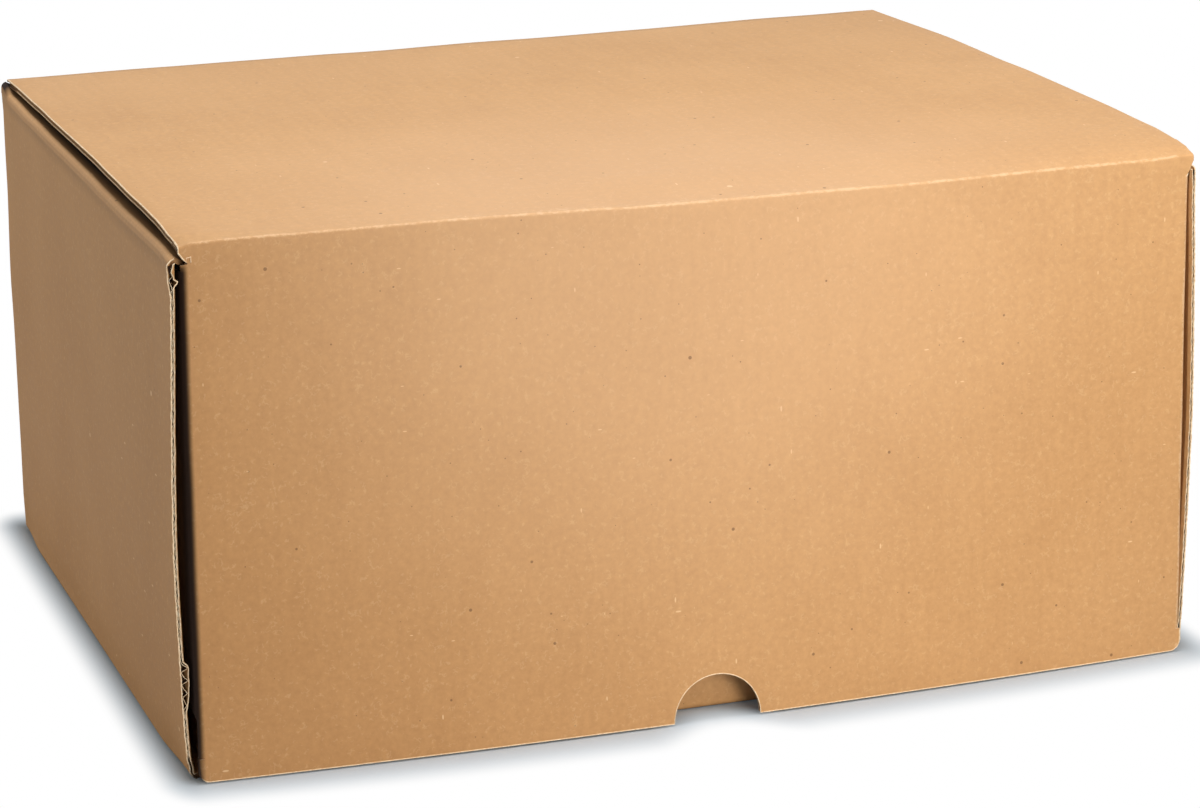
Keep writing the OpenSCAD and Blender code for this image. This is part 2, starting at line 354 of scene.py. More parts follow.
kraft = kraft_paper("kraft_paper")
print("kraft paper:", len(kraft.node_tree.nodes), "nodes")

# %% [markdown]
# ## Cut edges
# Where the board is cut, the loose ends of the fibres catch the light, so the edge of each liner
# is paler than its face. The fluted paper inside is seen in shade, and its colour is darkened as
# painted shade.

# %% Cut edge and flute paper
def plain_paper(name, dark, light, scale):
    finish = Finish(name)
    place = finish.node("TexCoord", output="Object")
    fibres = finish.noise(place, scale, 3, 0.6)
    colour = finish.mix(fibres.between(0.25, 0.75), dark, light)
    # Painted shade: the deep mark darkens this paper too.
    finish.surface(finish.mix(marked(finish, "deep"), colour, PAINTED_SHADE), 0.85, 0.2)
    finish.relief(fibres, 0.05 * MM)
    return finish.material


cut_edge = plain_paper("cut_edge", (0.74, 0.52, 0.31, 1), (0.95, 0.79, 0.58, 1), 900)
flute_paper = plain_paper("flute_paper", (0.26, 0.13, 0.055, 1), (0.42, 0.23, 0.10, 1), 400)
print("cut edge and flute paper ready")

# %% [markdown]
# ## Hand tools
# Every piece is made with the operators that a modeller clicks: select, merge, cut, bevel, move.
# These helpers choose what is selected by its place, because a script has no mouse.

# %% Selecting
def let_go():
    """Leaves edit mode and deselects everything."""
    if bpy.context.object and bpy.context.object.mode != "OBJECT":
        bpy.ops.object.mode_set(mode="OBJECT")
    bpy.ops.object.select_all(action="DESELECT")


def take(*pieces):
    """Selects only these pieces, and makes the first one active."""
    let_go()
    for piece in pieces:
        piece.select_set(True)
    bpy.context.view_layer.objects.active = pieces[0]


def pick(piece, kind, test):
    """Enters edit mode with only those verts, edges or faces selected that pass the test."""
    take(piece)
    bpy.ops.object.mode_set(mode="EDIT")
    bpy.ops.mesh.select_mode(type={"verts": "VERT", "edges": "EDGE", "faces": "FACE"}[kind])
    bpy.ops.mesh.select_all(action="DESELECT")
    mesh = bmesh.from_edit_mesh(piece.data)
    chosen = [part for part in getattr(mesh, kind) if test(part)]
    for part in chosen:
        part.select_set(True)
    bmesh.update_edit_mesh(piece.data)
    return len(chosen)


# %% Cutting and covering
PAPERS = [kraft, cut_edge, flute_paper]
FACE, EDGE, INSIDE = range(3)


def cut_across(axis, place):
    """Cuts new edges all round the piece in edit mode, by a plane across X, Y or Z."""
    point, normal = [0, 0, 0], [0, 0, 0]
    point[axis], normal[axis] = place, 1
    bpy.ops.mesh.select_all(action="SELECT")
    bpy.ops.mesh.bisect(plane_co=point, plane_no=normal)


def dice(axis, low, high):
    """Cuts the piece in edit mode by evenly spaced planes, so that it can bend."""
    count = round((high - low) / SPACING)
    for i in range(count + 1):
        cut_across(axis, low + (high - low) * i / count)


def wrap(piece, paper=FACE):
    """Gives a piece the three papers, and all its faces one of them."""
    piece.data.materials.clear()
    for each in PAPERS:
        piece.data.materials.append(each)
    for face in piece.data.polygons:
        face.material_index = paper


# %% Copies, paint and ridges
def board_copy(node, name):
    """A merged copy of a CAD node that can be worked on, with its three papers."""
    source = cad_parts[node]
    piece = source.copy()
    piece.data = source.data.copy()
    piece.name = piece.data.name = name
    for key in list(piece.keys()):
        del piece[key]
    piece.parent = None
    bpy.context.scene.collection.objects.link(piece)
    take(piece)
    bpy.ops.object.mode_set(mode="EDIT")
    bpy.ops.mesh.select_all(action="SELECT")
    bpy.ops.mesh.remove_doubles(threshold=0.001 * MM)
    bpy.ops.mesh.dissolve_limited(angle_limit=math.radians(0.05))
    bpy.ops.object.mode_set(mode="OBJECT")
    wrap(piece)
    print(name, "merged to", len(piece.data.vertices), "points")
    return piece


def paint(piece, paper, test):
    """Gives a paper to the faces that pass the test. It sees each face's corners and normal."""
    count = 0
    for face in piece.data.polygons:
        corners = [piece.data.vertices[i].co for i in face.vertices]
        if test(corners, face.normal):
            face.material_index = paper
            count += 1
    return count


def burr(piece, name, test, radius, paper=EDGE):
    """The thin ridge of torn fibres that a knife leaves along an edge of board."""
    print(name, "edges", pick(piece, "edges", test))
    bpy.ops.mesh.duplicate()
    bpy.ops.mesh.separate(type="SELECTED")
    bpy.ops.object.mode_set(mode="OBJECT")
    ridge = [o for o in bpy.context.selected_objects if o is not piece][0]
    take(ridge)
    bpy.ops.object.convert(target="CURVE")
    ridge.data.bevel_depth, ridge.data.bevel_resolution = radius, 1
    ridge.data.use_fill_caps = True
    bpy.ops.object.convert(target="MESH")
    wrap(ridge, paper)
    ridge.name = ridge.data.name = name
    return ridge


# %% [markdown]
# ## Weights that move points
# Paper bends in long smooth shapes. The tool below gives each point a weight by its place, as
# weight painting does by hand, and a Displace modifier then moves the points by that weight.

# %% Push, mark and warp
def apply_push(piece, weights, axis, distance, texture=None):
    """Moves points along an axis by a distance times their weight, or by a soft random texture."""
    group = piece.vertex_groups.new(name="push")
    for i, weight in enumerate(weights):
        if weight > 0.0005:
            group.add([i], min(weight, 1.0), "REPLACE")
    take(piece)
    modifier = piece.modifiers.new("push", "DISPLACE")
    modifier.direction, modifier.strength, modifier.mid_level = axis, distance, 0
    modifier.vertex_group = "push"
    if texture:
        modifier.texture, modifier.texture_coords, modifier.mid_level = texture, "LOCAL", 0.5
    bpy.ops.object.modifier_apply(modifier="push")
    piece.vertex_groups.remove(piece.vertex_groups["push"])


def push(piece, axis, field):
    """Moves points along X, Y or Z by a distance that a field gives for their place."""
    shifts = [field(point.co) for point in piece.data.vertices]
    for sign in (1, -1):
        far = max(sign * shift for shift in shifts)
        if far > 0.001 * MM:
            apply_push(piece, [sign * shift / far for shift in shifts], axis, sign * far)


def step_up(value, low, high):
    """0 below low, 1 above high, and smooth between them."""
    share = min(max((value - low) / (high - low), 0.0), 1.0)
    return share * share * (3 - 2 * share)


def curve_through(*pairs):
    """A smooth line through (place, shift) pairs in millimetres, read from the photograph."""
    def shift_at(place):
        place = max(place / MM, pairs[0][0])
        for (a, low), (b, high) in zip(pairs, pairs[1:]):
            if place <= b:
                return (low + (high - low) * step_up(place, a, b)) * MM
        return pairs[-1][1] * MM
    return shift_at


def mark(piece, name, amount):
    """Stores a number from 0 to 1 for each point, for the papers to read. The largest stays."""
    layers = piece.data.attributes
    layer = layers.get(name) or layers.new(name, "FLOAT", "POINT")
    for point in piece.data.vertices:
        layer.data[point.index].value = max(layer.data[point.index].value, amount(point.co))


unevenness = bpy.data.textures.new("unevenness", "CLOUDS")
unevenness.cloud_type, unevenness.noise_scale, unevenness.noise_depth = "COLOR", 0.055, 1
WARP = 0.8 * MM


def warp(piece):
    """Gives a piece the slight unevenness of real board. Pieces that touch move alike."""
    free = [step_up(point.co.z, 4 * MM, 14 * MM) for point in piece.data.vertices]
    apply_push(piece, free, "RGB_TO_XYZ", WARP, unevenness)


# %% [markdown]
# ## The folded board
# The walls, bottom and lid are one sheet, so they are one piece. Its faces are cut into a grid of
# small squares, because a large flat face can't take the slight waves that real board has, and
# the lid's upper cut edges are bevelled a little, because a worn edge of board is never sharp.

# %% Copy the folded box
box_board = board_copy("folded_box", "box_board")


def side_cut(corners, normal):
    """The cut edges of the side walls, front and back."""
    return abs(normal.y) > 0.99 and all(
        min(abs(c.y - SIDE_Y0), abs(c.y - SIDE_Y1)) < NEAR for c in corners)


WALLS_FROM, OUTER_PANEL = 190 * MM, 199.5 * MM


def side_flute(corners, normal):
    """The walls of the open flutes: all their corners lie close behind a cut edge, and they run
    along the board. In the outer panel the closed ends of the flutes count too."""
    ahead = max(c.y for c in corners) < SIDE_Y0 + FLUTE_DEPTH + NEAR
    behind = min(c.y for c in corners) > SIDE_Y1 - FLUTE_DEPTH - NEAR
    in_panel = min(abs(c.x) for c in corners) > OUTER_PANEL
    return (ahead or behind) and (abs(normal.y) < 0.3 or in_panel)


def lid_cut(corners, normal):
    """The side edges of the lid."""
    return abs(normal.x) > 0.99 and all(abs(abs(c.x) - LID_HALF) < NEAR for c in corners)


def in_side_wall(corners):
    """True for a face that lies wholly in one of the side walls."""
    places = [c.x for c in corners]
    return min(places) > WALLS_FROM or max(places) < -WALLS_FROM


print("flute walls", paint(box_board, INSIDE, lambda c, n: in_side_wall(c) and side_flute(c, n)))
print("cut edges", paint(box_board, EDGE, lambda c, n: side_cut(c, n) or lid_cut(c, n)))

# %% Round the lid's cut edges
def lid_rim(edge):
    """The long upper edges at the sides of the lid."""
    ends = [v.co for v in edge.verts]
    on_side = all(abs(abs(e.x) - LID_HALF) < NEAR and e.z > LID_FLOOR + BOARD / 2 for e in ends)
    normals = [f.normal for f in edge.link_faces]
    return on_side and any(n.z > 0.9 for n in normals) and any(abs(n.x) > 0.9 for n in normals)


print("rim edges", pick(box_board, "edges", lid_rim))
bpy.ops.mesh.bevel(offset=0.5 * MM, segments=2, material=EDGE)
bpy.ops.object.mode_set(mode="OBJECT")

# %% Cut the board into small squares
take(box_board)
bpy.ops.object.mode_set(mode="EDIT")
for axis, low, high in ((0, -200, 200), (1, -150, 150), (2, 8, 196)):
    dice(axis, low * MM, high * MM)
bpy.ops.object.mode_set(mode="OBJECT")
print("box_board has", len(box_board.data.polygons), "faces")

# %% [markdown]
# ## The cut sides of the lid
# A knife leaves a thin pale ridge along the upper liner, and a finer one along the lower liner,
# which lies in shade and takes the darker flute paper as painted shade. Between them the flutes
# lie in the dark, painted as shade on the cut side. The ridges are made at the left, where they
# can be seen.

# %% Ridges along the lid
LEFT_CUT = -199 * MM


def along_lid(edge):
    """Edges that run from front to back along the left side of the lid."""
    a, b = (v.co for v in edge.verts)
    lengthwise = abs(a.y - b.y) > 5 * abs(a.x - b.x)
    return lengthwise and min(a.z, b.z) > LID_FLOOR and a.x < LEFT_CUT


def upper_line(edge):
    return along_lid(edge) and len(edge.link_faces) == 2 and all(
        f.normal.z > 0.2 and abs(f.normal.x) > 0.2 for f in edge.link_faces)


def lower_line(edge):
    normals = [f.normal for f in edge.link_faces]
    return along_lid(edge) and any(n.z < -0.9 for n in normals) \
        and any(abs(n.x) > 0.9 for n in normals)


# Painted shade on the cut sides of the lid, between the ridges.
mark(box_board, "deep",
     lambda co: float(abs(abs(co.x) - LID_HALF) < NEAR and co.z > LID_FLOOR))
# The lower ridge takes the darker flute paper, as painted shade.
lid_ridges = [burr(box_board, "upper_ridge", upper_line, 0.24 * MM),
              burr(box_board, "lower_ridge", lower_line, 0.12 * MM, INSIDE)]

# %% [markdown]
# ## The front flap
# The flap hangs from the lid by the crease, and its two ears are folded back into the side walls.
# It could be one solid with a pattern of holes, but board only looks right at its cut edges when
# it is built as board: an outer liner, a fluted paper and an inner liner. Each liner starts as a
# flat grid. Its side edges are spun round the folds and drawn out into the ears.

# %% Sizes of the flap
FLAP_HALF = 195.8 * MM
FLAP_LEAN, LID_RISE = math.atan(4 * MM / (203 * MM)), math.tan(math.radians(1.1))
FLAP_LEN = (CREASE_Z - 0.6 * MM) / math.cos(FLAP_LEAN)
FLAP_BOW = 6 * MM
OUTER_TOP, INNER_TOP = -1.8 * MM, -2.6 * MM
EAR_LEN, EAR_TOP, EAR_FOOT = 62 * MM, 9 * MM, 9 * MM
EAR_BASE = -FLAP_LEN + EAR_FOOT
EAR_TAPER, EAR_FOOT_TAPER, EAR_ROUND = 8 * MM, 26 * MM, 10 * MM
EAR_ROWS, FOLD_STEPS, CORNER_PLANES = 8, 6, 6
CORNER, NOTCH = 4 * MM, 17.5 * MM
TABS = {-1: (195.8 * MM, -6.3 * MM), 1: (196.9 * MM, -7.5 * MM)}
SHADE_ROWS = (4.5 * MM, 7 * MM, 12 * MM)
print("flap length", in_mm([FLAP_LEN]), "lean", round(math.degrees(FLAP_LEAN), 2), "degrees")

# %% Grids and trims
def upright_grid(name, low, high, columns, rows, facing="front"):
    """A flat upright grid between two corners, that faces the front or a side."""
    let_go()
    bpy.ops.mesh.primitive_grid_add(x_subdivisions=columns, y_subdivisions=rows, size=1)
    piece = bpy.context.object
    piece.name = piece.data.name = name
    span = Vector(high) - Vector(low)
    piece.scale = (span.x if facing == "front" else span.y, span.z, 1)
    turn = 0 if facing == "front" else math.pi / 2
    piece.rotation_euler = (math.pi / 2, 0, turn)
    piece.location = (Vector(high) + Vector(low)) / 2
    bpy.ops.object.transform_apply(location=True, rotation=True, scale=True)
    wrap(piece)
    return piece


def trim(piece, point, normal, test):
    """Cuts away what lies beyond a plane, in the chosen faces only."""
    if pick(piece, "faces", test):
        bpy.ops.mesh.bisect(plane_co=point, plane_no=Vector(normal).normalized(), clear_outer=True)


def trim_round(piece, centre, radius, spread, across, test):
    """Rounds a corner with planes that touch a circle, between two angles in degrees."""
    for i in range(CORNER_PLANES):
        angle = math.radians(spread[0] + (spread[1] - spread[0]) * (i + 0.5) / CORNER_PLANES)
        outward = Vector(across) * math.cos(angle) + Vector((0, 0, 1)) * math.sin(angle)
        trim(piece, Vector(centre) + outward * radius, outward, test)


def trim_tab(piece, side, test):
    """Slants the corner beside the crease, from the side of the lid down to the flap's fold."""
    def beside_fold(face):
        return side * face.calc_center_median().x > FLAP_HALF and test(face)

    x, z = TABS[side]
    trim(piece, (side * x, 0, z), (side * (-z - BOARD / 2), 0, x - LID_HALF), beside_fold)


def trim_ears(piece):
    """Tapers the ears towards their ends and rounds their rear corners."""
    def in_ear(face):
        return face.calc_center_median().y > 1.2 * FOLD

    run = EAR_LEN - BOARD / 2 - FOLD
    trim(piece, (0, BOARD / 2 + FOLD, -EAR_TOP), (0, EAR_TAPER, run), in_ear)
    trim(piece, (0, BOARD / 2 + FOLD, EAR_BASE), (0, EAR_FOOT_TAPER, -run), in_ear)
    for height, spread in ((EAR_BASE + EAR_FOOT_TAPER + EAR_ROUND, (-85, 0)),
                           (-EAR_TOP - EAR_TAPER - EAR_ROUND, (0, 85))):
        trim_round(piece, (0, EAR_LEN - EAR_ROUND, height), EAR_ROUND, spread, (0, 1, 0), in_ear)


# %% A liner of the flap
def flap_liner(name, behind, top):
    """One paper of the flap. It lies a given way behind the middle of the board, and its top
    a little below the crease."""
    piece = upright_grid(name, (-FLAP_HALF, behind, -FLAP_LEN), (FLAP_HALF, behind, top),
                         round(2 * FLAP_HALF / SPACING), round((FLAP_LEN + top) / SPACING))
    bpy.ops.object.mode_set(mode="EDIT")
    for height in (TABS[-1][1], TABS[1][1], -EAR_TOP, EAR_BASE):
        cut_across(2, height)
    for side in (-1, 1):
        def rim(edge, low, high):
            return all(abs(v.co.x - side * FLAP_HALF) < NEAR and low - NEAR < v.co.z < high + NEAR
                       and abs(v.co.y - behind) < NEAR for v in edge.verts)

        pick(piece, "edges", lambda e: rim(e, EAR_BASE, TABS[side][1]))
        bpy.ops.mesh.spin(steps=FOLD_STEPS, angle=-side * math.pi / 2,
                          center=(side * FLAP_HALF, FOLD, 0), axis=(0, 0, 1))
        for step in range(EAR_ROWS):
            bpy.ops.mesh.extrude_region_move(
                TRANSFORM_OT_translate={"value": (0, (EAR_LEN - FOLD) / EAR_ROWS, 0)})
        pick(piece, "edges", lambda e: rim(e, TABS[side][1], top))
        bpy.ops.mesh.extrude_region_move(
            TRANSFORM_OT_translate={"value": (side * (LID_HALF - FLAP_HALF), 0, 0)})
        pick(piece, "edges", lambda e: rim(e, -FLAP_LEN, EAR_BASE))
        bpy.ops.mesh.extrude_region_move(
            TRANSFORM_OT_translate={"value": (side * (FLAP_SIDE - FLAP_HALF), 0, 0)})

        def beyond(face):
            middle = face.calc_center_median()
            return side * middle.x > FLAP_HALF - 2 * CORNER and middle.y < behind + NEAR

        trim_tab(piece, side, lambda f: beyond(f) and f.calc_center_median().z > TABS[side][1])
        trim_round(piece, (side * (FLAP_SIDE - CORNER), 0, -FLAP_LEN + CORNER), CORNER, (-90, 0),
                   (side, 0, 0), lambda f: beyond(f) and f.calc_center_median().z < EAR_BASE)
    for depth in SHADE_ROWS:
        cut_across(1, depth)
    trim_ears(piece)
    return thicken(piece, LINER)


def thicken(piece, thickness):
    """Gives a sheet its thickness, half on each side, with the paler paper on its edges."""
    take(piece)
    modifier = piece.modifiers.new("thickness", "SOLIDIFY")
    modifier.thickness, modifier.offset = thickness, 0
    modifier.use_even_offset = True
    modifier.material_offset_rim = EDGE
    bpy.ops.object.modifier_apply(modifier=modifier.name)
    return piece


outer_liner = flap_liner("flap_outer_liner", -(BOARD - LINER) / 2, OUTER_TOP)
inner_liner = flap_liner("flap_inner_liner", (BOARD - LINER) / 2, INNER_TOP)
for piece in (outer_liner, inner_liner):
    print(piece.name, in_mm(piece.dimensions), len(piece.data.polygons), "faces")

# %% [markdown]
# ## The fluted paper
# The paper between the liners is pressed into waves. Eight columns of the grid make one wave, and
# its height leaves room for the two liners.

# %% Flutes of the flap
MEDIUM = 0.28 * MM
WAVE = BOARD - 2 * LINER - MEDIUM
PER_FLUTE = 8
EAR_START, EAR_WAVES = 3 * MM, 12


def wave_of(along):
    return 0.5 + 0.5 * math.cos(2 * math.pi * along / FLUTE)


waves = round(2 * FLAP_HALF / FLUTE)
fluted = upright_grid("flap_flutes", (-waves * FLUTE / 2, -WAVE / 2, -FLAP_LEN),
                      (waves * FLUTE / 2, -WAVE / 2, INNER_TOP), waves * PER_FLUTE, 12)
push(fluted, "Y", lambda co: wave_of(co.x) * WAVE)
sheets = [fluted]
for side in (-1, 1):
    middle = side * (FLAP_HALF + FOLD)
    ear = upright_grid("ear_flutes", (middle - WAVE / 2, EAR_START, EAR_BASE),
                       (middle - WAVE / 2, EAR_START + EAR_WAVES * FLUTE, -EAR_TOP),
                       EAR_WAVES * PER_FLUTE, 6, "side")
    push(ear, "X", lambda co: wave_of(co.y) * WAVE)
    trim_ears(ear)
    sheets.append(ear)
for sheet in sheets:
    thicken(sheet, MEDIUM)
    wrap(sheet, INSIDE)
print("flutes:", waves, "across the flap")

# %% [markdown]
# ## The thumb notch
# The notch is punched through all three papers at once, so one round cutter does it.

# %% Punch the notch
let_go()
bpy.ops.mesh.primitive_cylinder_add(vertices=96, radius=NOTCH, depth=40 * MM,
                                    location=(0, 0, -FLAP_LEN), rotation=(math.pi / 2, 0, 0))
punch = bpy.context.object
bpy.ops.object.transform_apply(location=True, rotation=True, scale=True)
wrap(punch, EDGE)
for sheet in (outer_liner, inner_liner, fluted):
    cut = sheet.modifiers.new("notch", "BOOLEAN")
    cut.operation, cut.object, cut.solver = "DIFFERENCE", punch, "EXACT"
    take(sheet)
    bpy.ops.object.modifier_apply(modifier=cut.name)
bpy.data.objects.remove(punch)


RIM_TOP, LEVEL_TOP = -2.2 * MM, -10 * MM


def front_rim(edge):
    """Where the flap's front face meets the cut side of its outer paper. The upper border lies
    under the strip of the crease, and the short level ends at the ears would stand out as hooks,
    so both are left out."""
    papers = {face.material_index for face in edge.link_faces}
    ends = [v.co.z for v in edge.verts]
    level = max(ends) - min(ends) < NEAR
    at_ear = level and (abs(ends[0] - EAR_BASE) < NEAR or ends[0] > LEVEL_TOP)
    return papers == {FACE, EDGE} and any(face.normal.y < -0.95 for face in edge.link_faces) \
        and max(ends) < RIM_TOP and not at_ear


sheets.append(burr(outer_liner, "flap_burr", front_rim, 0.2 * MM))

# %% [markdown]
# ## Hanging the flap
# The papers were built straight and upright with the crease at the origin, where they are easy to
# measure. Now they become one piece, which is bowed out at its foot, leaned and moved into place.

# %% Join the flap and hang it on its crease
take(outer_liner, inner_liner, *sheets)
bpy.ops.object.join()
flap_board = bpy.context.object
flap_board.name = flap_board.data.name = "flap_board"


def bowed_out(co):
    """How far the flap bows out: most at the middle of its lower edge, not at all at its folds."""
    if co.y > 2 * MM:
        return 0.0
    return max(0.0, 1 - (co.x / FLAP_HALF) ** 2) * min(1.0, max(0.0, -co.z / FLAP_LEN))


def hang(piece):
    """Bows a piece of the flap, leans it out and moves it to the crease."""
    push(piece, "Y", lambda co: -FLAP_BOW * bowed_out(co))
    piece.rotation_euler = (-FLAP_LEAN, 0, 0)
    piece.location = (0, CREASE_Y, CREASE_Z)
    take(piece)
    bpy.ops.object.transform_apply(location=True, rotation=True, scale=True)


hang(flap_board)
low, high = [Vector(c) for c in (flap_board.bound_box[0], flap_board.bound_box[6])]
cad_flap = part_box("front_flap")
print("flap_board", in_mm((*low, *high)), len(flap_board.data.polygons), "faces")
print("its solid", in_mm((*cad_flap[0], *cad_flap[1])))

# %% [markdown]
# ## The crease
# At the front of the lid the outer liner runs on over the fold and down the flap. It is one strip
# of paper on the real box, and it is made as one: a flat strip on the lid, spun round the crease
# and drawn down the flap. Its long borders dip just under the boards, so that no step shows.

# %% Strip of paper over the crease
STRIP, STRIP_DOWN = 14 * MM, 8 * MM
PROUD, DIP = 0.05 * MM, 0.12 * MM
ROUND = BOARD / 2 + PROUD
TAB_END = -194 * MM
let_go()
bpy.ops.mesh.primitive_grid_add(x_subdivisions=240, y_subdivisions=5, size=1)
crease_paper = bpy.context.object
crease_paper.name = crease_paper.data.name = "crease_paper"
crease_paper.scale = (2 * LID_HALF, STRIP, 1)
crease_paper.location = (0, STRIP / 2, ROUND)
bpy.ops.object.transform_apply(location=True, rotation=True, scale=True)
pick(crease_paper, "edges", lambda e: all(v.co.y < NEAR for v in e.verts))
bpy.ops.mesh.spin(steps=8, angle=-math.pi / 2, center=(0, 0, 0), axis=(1, 0, 0))
for step in range(4):
    bpy.ops.mesh.extrude_region_move(TRANSFORM_OT_translate={"value": (0, 0, -STRIP_DOWN / 4)})
for side in (-1, 1):
    trim_tab(crease_paper, side, lambda f: f.calc_center_median().z < -MM)
bpy.ops.object.mode_set(mode="OBJECT")
wrap(crease_paper)


def tab_rim(edge):
    """The strip's cut left end: along the side of the lid and down the slanting corner."""
    ends = [v.co for v in edge.verts]
    return edge.is_boundary and all(e.x < TAB_END and e.z > TABS[-1][1] - NEAR for e in ends) \
        and not all(e.y > STRIP - NEAR for e in ends)


ridge = burr(crease_paper, "tab_ridge", tab_rim, 0.24 * MM)
take(crease_paper, ridge)
bpy.ops.object.join()


def rubbed_fold(co):
    """Most on the bend itself, and a little on the lid behind it, left of the middle."""
    bend = 0.86 * step_up(-abs(co.y + co.z), -1.7 * MM, -0.1 * MM) \
        * step_up(co.z - co.y, 0.9 * MM, 1.2 * MM)
    behind = 0.48 * (1 - step_up(co.y, 1 * MM, 6 * MM)) \
        * (1 - step_up(abs(co.x + 30 * MM), 40 * MM, 160 * MM))
    ends = 1 - step_up(abs(co.x), 190 * MM, 197 * MM)
    return max(bend * ends, behind * (co.z > 0.9 * MM))


mark(crease_paper, "worn", rubbed_fold)
push(crease_paper, "Z", lambda co: max(co.y, 0) * (math.tan(FLAP_LEAN) + LID_RISE)
     - DIP * step_up(co.y, 0.7 * STRIP, STRIP))
push(crease_paper, "Y", lambda co: DIP * step_up(-co.z, 0.7 * STRIP_DOWN, STRIP_DOWN))
hang(crease_paper)
print("strip", in_mm(crease_paper.dimensions))

# %% [markdown]
# ## The edges of the side walls
# At the front left corner the cut board can be seen from its end: two pale liners with the flutes
# dark between them. Knocks have bent them, so they are modelled as three real papers, set on the
# front of each side wall, and then pushed about: crushed at the top, bulged near the foot.

# %% Liners of a side edge
def side_bow(z):
    """How far a side wall bows out at a height: one shallow arc from foot to shoulder."""
    half = (SHOULDER - FOOT) / 2
    radius = (half ** 2 + SIDE_BOW ** 2) / (2 * SIDE_BOW)
    off = min(abs(z - (SHOULDER + FOOT) / 2), half)
    return math.sqrt(radius ** 2 - off ** 2) - radius + SIDE_BOW


def edge_liner(name, side, inset, reach):
    """One liner of a side wall's front edge, carried round the foot and over the shoulder."""
    x = side * (SIDE_MID + BOARD / 2 - inset)
    piece = upright_grid(name, (x, SIDE_Y0 - reach, FOOT), (x, SIDE_Y0, SHOULDER), 3, 240, "side")
    for height, turn in ((FOOT, -1), (SHOULDER, 1)):
        pick(piece, "edges", lambda e: all(abs(v.co.z - height) < NEAR for v in e.verts))
        bpy.ops.mesh.spin(steps=FOLD_STEPS, angle=side * turn * math.radians(80),
                          center=(side * (SIDE_MID - FOLD), 0, height), axis=(0, 1, 0))
    take(piece)
    push(piece, "X", lambda co: side * side_bow(co.z) if FOOT < co.z < SHOULDER else 0.0)
    return piece


# %% How the edges were crushed
def front_share(co, reach):
    """1 at the very front of an edge paper, and 0 where it meets the wall."""
    return step_up(SIDE_Y0 - co.y, 0, reach)


def waver(z, seed):
    """The slight unevenness of a cut liner: three waves of different lengths."""
    z = z / MM
    return MM * (0.09 * math.sin(z * 1.28 + seed) + 0.07 * math.sin(z * 0.47 + 2 * seed)
                 + 0.06 * math.sin(z * 2.9 + 3 * seed))


crushed_outer = curve_through((0, 0), (183, 0), (189, -0.9), (195, -1.0), (196, -0.6))
crushed_inner = curve_through(
    (0, 0), (25, 0), (33, 1.3), (38, 1.8), (44.5, 1.9), (46.5, 0.2), (47, 0), (186.6, 0),
    (188.8, 1.7), (190.1, 0), (190.6, 0.1), (192.4, -0.6), (194.5, 0.1), (196, -0.6))


def waves_of_edge(side, z):
    """The flutes of a side wall seen from its edge; on the left they were pushed over."""
    height = z - (FOOT + SHOULDER) / 2
    return wave_of(height + (0.9 * MM * wave_of(height) if side < 0 else 0))


def press(sheet, side, reach, share_of, seed):
    """Squeezes a paper of the edge, most at the very front, where the knife has crushed it. The
    share is 0 for the outer liner and 1 for the inner one, and the flutes go to and fro."""
    def inward(co):
        share = share_of(co.z)
        shift = waver(co.z, seed) * 0.7 - share * 0.75 * MM
        if side < 0:
            shift += share * crushed_inner(co.z) + (1 - share) * crushed_outer(co.z)
        return -side * shift * front_share(co, reach)

    def backward(co):
        ends = 1 - step_up(co.z, FOOT, 12 * MM) + 0.8 * step_up(co.z, 188 * MM, 196 * MM)
        return front_share(co, reach) * 0.5 * (waver(co.z, seed + 4) + reach * ends)

    push(sheet, "X", inward)
    push(sheet, "Y", backward)


# %% Build both side edges
LEFT_REACH, RIGHT_REACH = 2.2 * MM, 1.4 * MM
side_edges = []
for side, reach in ((-1, LEFT_REACH), (1, RIGHT_REACH)):
    outside = edge_liner("edge_outer", side, LINER / 2, reach)
    inside = edge_liner("edge_inner", side, BOARD - LINER / 2, reach)
    mid = side * (SIDE_MID + BOARD / 2 - LINER - MEDIUM / 2)
    rows = 12 * round((SHOULDER - FOOT) / FLUTE)
    flutes = upright_grid("edge_flutes", (mid, SIDE_Y0 - reach + 0.1 * MM, FOOT),
                          (mid, SIDE_Y0, SHOULDER), 5, rows, "side")
    push(flutes, "X", lambda co: side * (side_bow(co.z) - WAVE * waves_of_edge(side, co.z)))
    press(outside, side, reach, lambda z: 0.0, 1.0)
    press(inside, side, reach, lambda z: 1.0, 2.3)
    press(flutes, side, reach, lambda z: waves_of_edge(side, z), 0.0)
    for sheet, thickness in ((outside, 0.44 * MM), (inside, 0.42 * MM), (flutes, 0.2 * MM)):
        thicken(sheet, thickness)
        side_edges.append(sheet)
    for face in flutes.data.polygons:
        if face.material_index == FACE:
            face.material_index = INSIDE
    front = SIDE_Y0 - reach
    # Painted shade: the flutes darken just behind the very front of the edge.
    mark(flutes, "deep", lambda co: 0.97 * step_up(co.y, front + 0.12 * MM, front + 0.5 * MM))
# The cut faces behind the edge papers take the darker flute paper, as painted shade deep in the flutes.
for face in box_board.data.polygons:
    middle = face.center
    covered = middle.y < 0 and abs(middle.x) > 195 * MM and middle.z < 198 * MM
    if covered and face.material_index == EDGE:
        face.material_index = INSIDE
take(box_board, *side_edges, *lid_ridges)
bpy.ops.object.join()
print("side edges joined:", len(box_board.data.polygons), "faces in all")

# %% [markdown]
# ## What handling did to the box
# The photographed box is not quite square any more: its crease sags to the right, its lid has
# lifted along the right edge and a little at the left, its left front corner is worn, and its left
# wall leans and bulges at the foot. The shifts below were read from the photograph, in millimetres.
# Pieces that meet are pushed by the same fields, so that they stay together.

